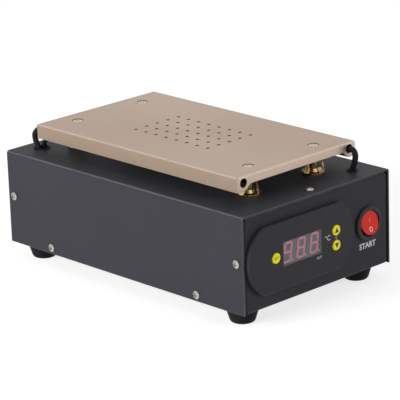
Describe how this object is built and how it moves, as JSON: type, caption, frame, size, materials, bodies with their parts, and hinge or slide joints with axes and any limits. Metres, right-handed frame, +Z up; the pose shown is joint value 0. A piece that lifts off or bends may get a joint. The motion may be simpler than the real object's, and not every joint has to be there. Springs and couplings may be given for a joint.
{
  "type": "lcd screen separator",
  "caption": "Bench hot plate for parting phone screens: a drilled heated suction plate on stand-offs over a sheet steel case with a digit display, push buttons and a round rocker switch.",
  "frame": {"origin": "on the ground under the middle of the object's bounding box", "axes": "+X to the right seen from the front, +Y from the front panel to the rear panel, +Z up out of the heating plate's working face"},
  "size_m": [0.1418, 0.2372, 0.0961],
  "materials": {
    "case_paint": "satin powder coat",
    "foot_rubber": "moulded",
    "bright_screw": "bright nickel",
    "plate_aluminium": "champagne anodised, brushed",
    "yellow_zinc": "yellow zinc",
    "spacer_ceramic": "glazed",
    "heater_steel": "ground",
    "lead_sleeve": "woven glass sleeve",
    "black_rubber": "moulded",
    "box_aluminium": "milled",
    "red_silicone": "smooth",
    "brass": "turned",
    "hose_silicone": "milky",
    "motor_steel": "plated",
    "dark_plastic": "moulded",
    "bezel_plastic": "satin",
    "window_plastic": "smoked",
    "module_plastic": "smooth",
    "digit_red": "lit",
    "button_yellow": "smooth",
    "lamp_blue": "clear",
    "board_green": "solder mask",
    "rocker_red": "translucent",
    "tinned_blade": "tinned",
    "fuse_glass": "clear",
    "cable_black": "smooth",
    "cable_red": "smooth",
    "transformer_iron": "varnished",
    "capacitor_sleeve": "shrink sleeve",
    "terminal_green": "moulded"
  },
  "bodies": {
    "case": {"cover": "case_paint", "base_tray": "case_paint", "foot_front_left": "foot_rubber", "foot_front_right": "foot_rubber", "foot_rear_left": "foot_rubber", "foot_rear_right": "foot_rubber", "foot_screws": "bright_screw", "cover_screws": "bright_screw", "heating_plate": "plate_aluminium", "plate_screws": "bright_screw", "tee_nuts": "yellow_zinc", "insulating_spacers": "spacer_ceramic", "stud_nuts": "bright_screw", "heater_left": "heater_steel", "heater_right": "heater_steel", "heater_lead_front": "lead_sleeve", "heater_lead_rear": "lead_sleeve", "temperature_sensor": "heater_steel", "sensor_clip": "heater_steel", "sensor_lead": "lead_sleeve", "lead_grommets": "black_rubber", "suction_box": "box_aluminium", "suction_gasket": "red_silicone", "suction_box_screws": "bright_screw", "hose_barb": "brass", "vacuum_hose": "hose_silicone", "pump_motor": "motor_steel", "pump_crankcase": "dark_plastic", "pump_valve_head": "dark_plastic", "pump_diaphragm": "black_rubber", "pump_bracket": "motor_steel", "pump_bushes": "black_rubber", "inner_screws": "bright_screw", "pump_lead": "cable_red", "controller_bezel": "bezel_plastic", "display_window": "window_plastic", "display_module": "module_plastic", "display_digits": "digit_red", "tact_switches": "dark_plastic", "set_lamp": "lamp_blue", "controller_board": "board_green", "switch_body": "dark_plastic", "switch_terminals": "tinned_blade", "power_inlet": "dark_plastic", "inlet_pins": "tinned_blade", "inlet_screws": "bright_screw", "mains_lead": "cable_black", "supply_board": "board_green", "board_posts": "yellow_zinc", "supply_transformer": "transformer_iron", "supply_capacitors": "capacitor_sleeve", "supply_heatsink": "box_aluminium", "terminal_blocks": "terminal_green"},
    "rocker": {"switch_rocker": "rocker_red"},
    "set_button": {"button_set": "button_yellow"},
    "up_button": {"button_up": "button_yellow"},
    "down_button": {"button_down": "button_yellow"},
    "drawer": {"fuse_drawer": "dark_plastic", "fuse": "fuse_glass"},
    "shaft": {"pump_shaft": "motor_steel"}
  },
  "joints": [
    {"name": "power_rocker_tilt", "type": "hinge", "parent": "case", "child": "rocker", "pos_m": [0.0482, -0.1136, 0.044], "axis": [1, 0, 0], "range_deg": [0, 20]},
    {"name": "set_button_press", "type": "slide", "parent": "case", "child": "set_button", "axis": [0, 1, 0], "range_m": [0, 0.0005], "stiffness_N_per_m": 500},
    {"name": "up_button_press", "type": "slide", "parent": "case", "child": "up_button", "axis": [0, 1, 0], "range_m": [0, 0.0005], "stiffness_N_per_m": 500},
    {"name": "down_button_press", "type": "slide", "parent": "case", "child": "down_button", "axis": [0, 1, 0], "range_m": [0, 0.0005], "stiffness_N_per_m": 500},
    {"name": "fuse_drawer_pull", "type": "slide", "parent": "case", "child": "drawer", "axis": [0, 1, 0], "range_m": [0, 0.012]},
    {"name": "pump_shaft_spin", "type": "hinge", "parent": "case", "child": "shaft", "pos_m": [0.05, 0.013, 0.0308], "axis": [0, 1, 0], "continuous": true}
  ]
}
